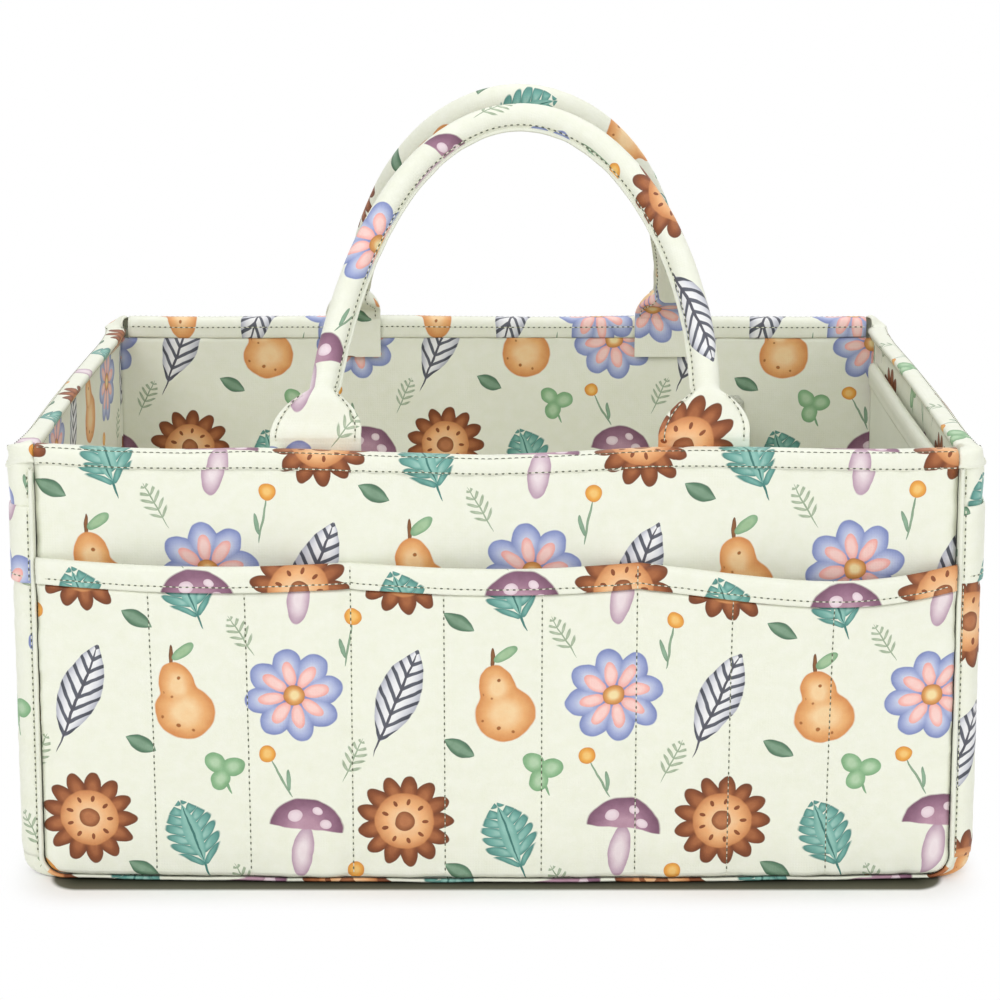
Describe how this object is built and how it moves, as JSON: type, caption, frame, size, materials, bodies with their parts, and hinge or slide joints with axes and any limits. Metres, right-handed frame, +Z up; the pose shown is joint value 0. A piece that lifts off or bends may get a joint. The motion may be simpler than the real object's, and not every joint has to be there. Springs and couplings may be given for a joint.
{
  "type": "storage bag",
  "caption": "Open-topped soft storage caddy with stiffened walls, outer patch pockets, removable dividers and two rolled carrying handles that swing.",
  "frame": {"origin": "middle of the underside, on the surface that the bag stands on", "axes": "+Z up, -Y towards the front panel, +X along the long side, to the right seen from the front"},
  "size_m": [0.4152, 0.2898, 0.3041],
  "materials": {
    "printed_cloth": "smooth coated printed fabric, satin",
    "binding_cloth": "coated fabric, folded and topstitched",
    "lining_cloth": "coated lining fabric, satin",
    "stiffener_board": "stiff board, matt",
    "handle_core_foam": "soft foam cord, matt",
    "hook_and_loop_tape": "napped tape, matt"
  },
  "bodies": {
    "caddy": {"front_panel": "printed_cloth", "back_panel": "printed_cloth", "left_side_panel": "printed_cloth", "right_side_panel": "printed_cloth", "base_panel": "printed_cloth", "front_pocket": "printed_cloth", "back_pocket": "printed_cloth", "left_side_pocket": "printed_cloth", "right_side_pocket": "printed_cloth", "front_handle_root_left": "printed_cloth", "front_handle_root_right": "printed_cloth", "back_handle_root_left": "printed_cloth", "back_handle_root_right": "printed_cloth", "front_seam_binding": "binding_cloth", "back_seam_binding": "binding_cloth", "rim_band_front": "binding_cloth", "rim_band_back": "binding_cloth", "rim_band_left": "binding_cloth", "rim_band_right": "binding_cloth", "front_pocket_hem": "binding_cloth", "back_pocket_hem": "binding_cloth", "left_side_pocket_hem": "binding_cloth", "right_side_pocket_hem": "binding_cloth", "front_lining": "lining_cloth", "back_lining": "lining_cloth", "left_side_lining": "lining_cloth", "right_side_lining": "lining_cloth", "base_lining": "lining_cloth", "inner_pocket": "lining_cloth", "inner_pocket_hem": "lining_cloth", "front_board": "stiffener_board", "back_board": "stiffener_board", "left_side_board": "stiffener_board", "right_side_board": "stiffener_board", "base_board": "stiffener_board", "loop_tape_front": "hook_and_loop_tape", "loop_tape_back": "hook_and_loop_tape", "loop_tape_left": "hook_and_loop_tape"},
    "front_handle": {"front_handle_cover": "printed_cloth", "front_handle_core": "handle_core_foam"},
    "back_handle": {"back_handle_cover": "printed_cloth", "back_handle_core": "handle_core_foam"},
    "cross_divider": {"cross_divider_cover": "lining_cloth", "cross_divider_board": "stiffener_board", "cross_divider_flap_front": "hook_and_loop_tape", "cross_divider_flap_back": "hook_and_loop_tape"},
    "long_divider": {"long_divider_cover": "lining_cloth", "long_divider_board": "stiffener_board", "long_divider_flap_left": "hook_and_loop_tape", "long_divider_flap_right": "hook_and_loop_tape"}
  },
  "joints": [
    {"name": "front_handle_swing", "type": "hinge", "parent": "caddy", "child": "front_handle", "pos_m": [0, -0.12325, 0.184], "axis": [1, 0, 0], "range_deg": [-17, 140]},
    {"name": "back_handle_swing", "type": "hinge", "parent": "caddy", "child": "back_handle", "pos_m": [0, 0.12325, 0.184], "axis": [-1, 0, 0], "range_deg": [-17, 140]},
    {"name": "cross_divider_lift", "type": "slide", "parent": "caddy", "child": "cross_divider", "axis": [0, 0, 1], "range_m": [0, 0.175]},
    {"name": "long_divider_lift", "type": "slide", "parent": "caddy", "child": "long_divider", "axis": [0, 0, 1], "range_m": [0, 0.175]}
  ]
}
